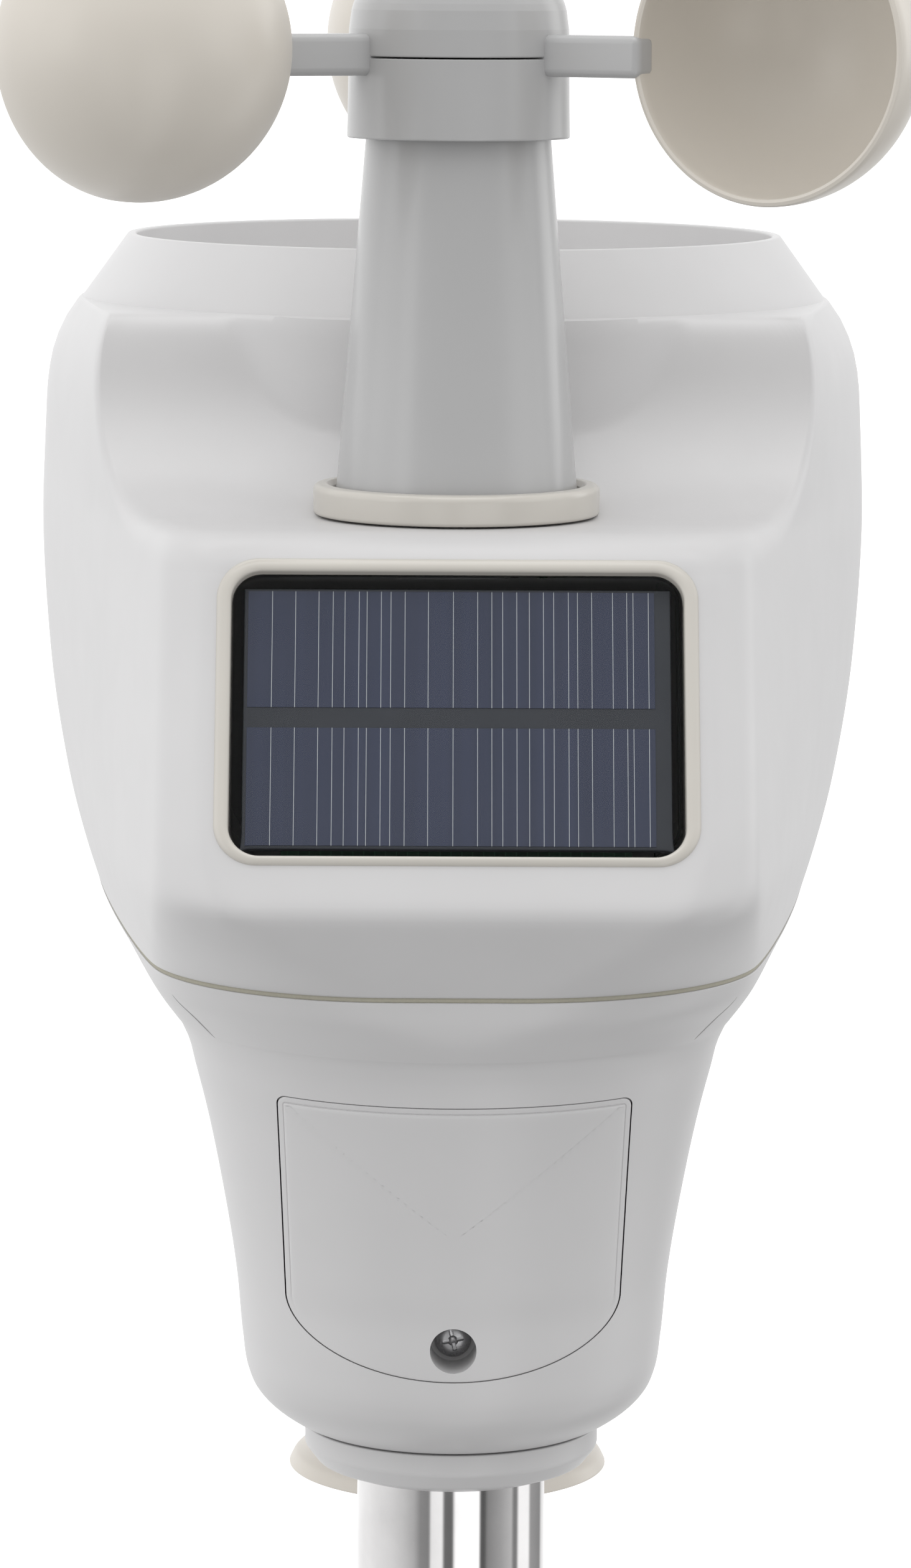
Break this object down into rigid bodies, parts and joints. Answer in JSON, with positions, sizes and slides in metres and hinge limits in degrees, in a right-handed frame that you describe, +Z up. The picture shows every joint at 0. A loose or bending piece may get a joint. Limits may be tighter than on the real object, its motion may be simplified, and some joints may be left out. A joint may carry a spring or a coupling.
{
  "type": "home weather station",
  "caption": "Pole-top home weather station: cup anemometer on a mast, solar window, rain collector, radiation shield, wind vane and battery door.",
  "frame": {"origin": "centre of the lower face of the cap that closes the pole", "axes": "+Z up along the pole, the solar window and battery door face -Y, the rain collector is on the +Y side, +X is to the right seen from the front"},
  "size_m": [0.1624, 0.246, 0.42],
  "materials": {
    "housing": "satin fine-grained moulded plastic, light neutral grey",
    "warm_trim": "smooth warm grey plastic, slightly glossy",
    "mast_grey": "satin moulded plastic, cool silver grey",
    "cup_cream": "satin moulded plastic, cream",
    "pole_steel": "polished stainless tube",
    "screw_steel": "plain stainless",
    "solar_glass": "clear thick cover glass with dark border",
    "solar_cells": "dark blue solar cells with fine light lines",
    "seam_seal": "olive grey foam rubber",
    "black_rubber": "matt black",
    "inner_plastic": "plain white moulded plastic",
    "cell_sleeve": "plain green sleeve",
    "brass": "plated contact strip",
    "circuit_board": "green circuit board",
    "magnet": "sintered magnet"
  },
  "bodies": {
    "station": {"pole": "pole_steel", "pole_end_cap": "black_rubber", "pole_collar": "housing", "collar_screw": "screw_steel", "lower_shell": "housing", "battery_tray": "inner_plastic", "battery_1": "cell_sleeve", "battery_2": "cell_sleeve", "contact_spring_1": "screw_steel", "contact_spring_2": "screw_steel", "contact_strip": "brass", "upper_shell": "housing", "solar_bezel": "warm_trim", "solar_cover": "solar_glass", "solar_panel": "solar_cells", "main_board": "circuit_board", "antenna": "black_rubber", "shell_seal": "seam_seal", "mast_post": "mast_grey", "mast_ring": "warm_trim", "rotor_bearing_upper": "screw_steel", "rotor_bearing_lower": "screw_steel", "wind_sensor_board": "circuit_board", "bucket_frame": "inner_plastic", "bucket_axle": "screw_steel", "rain_tray": "inner_plastic", "rain_sensor_board": "circuit_board", "climate_sensor_board": "circuit_board", "vane_housing": "housing", "vane_bearing": "screw_steel", "vane_sensor_board": "circuit_board", "shield_plate_1": "housing", "shield_plate_2": "housing", "shield_plate_3": "housing", "shield_plate_4": "housing", "shield_plate_5": "housing", "shield_plate_6": "housing", "shield_screw_1": "screw_steel", "shield_screw_2": "screw_steel", "shield_screw_3": "screw_steel"},
    "collector": {"rain_collector": "housing"},
    "filter": {"debris_filter": "inner_plastic"},
    "bucket": {"tipping_bucket": "inner_plastic", "bucket_magnet": "magnet"},
    "rotor": {"rotor_hub": "mast_grey", "rotor_cap": "mast_grey", "wind_cup_1": "cup_cream", "wind_cup_2": "cup_cream", "wind_cup_3": "cup_cream", "rotor_shaft": "screw_steel", "rotor_magnet": "magnet", "rotor_nut": "screw_steel"},
    "vane": {"vane_hub": "cup_cream", "vane_tail": "cup_cream", "vane_nose": "cup_cream", "vane_shaft": "screw_steel", "vane_magnet": "magnet"},
    "door": {"battery_door": "housing", "door_seal": "black_rubber"},
    "door_screw": {"door_screw": "screw_steel"}
  },
  "joints": [
    {"name": "rotor_spin", "type": "hinge", "parent": "station", "child": "rotor", "pos_m": [0, 0, 0.393], "axis": [0, 0, 1], "continuous": true},
    {"name": "vane_spin", "type": "hinge", "parent": "station", "child": "vane", "pos_m": [0, 0.096, 0.11], "axis": [0, 0, 1], "continuous": true},
    {"name": "bucket_tip", "type": "hinge", "parent": "station", "child": "bucket", "pos_m": [0, 0.096, 0.254], "axis": [1, 0, 0], "range_deg": [-30, 0]},
    {"name": "collector_twist", "type": "hinge", "parent": "station", "child": "collector", "pos_m": [0, 0.096, 0.342], "axis": [0, 0, 1], "range_deg": [0, 25]},
    {"name": "filter_lift", "type": "slide", "parent": "collector", "child": "filter", "axis": [0, 0, 1], "range_m": [0, 0.03]},
    {"name": "battery_door_pull", "type": "slide", "parent": "station", "child": "door", "axis": [0, -1, 0], "range_m": [0, 0.04]},
    {"name": "door_screw_turn", "type": "hinge", "parent": "door", "child": "door_screw", "pos_m": [0, -0.036, 0.161], "axis": [0, 1, 0], "continuous": true}
  ]
}
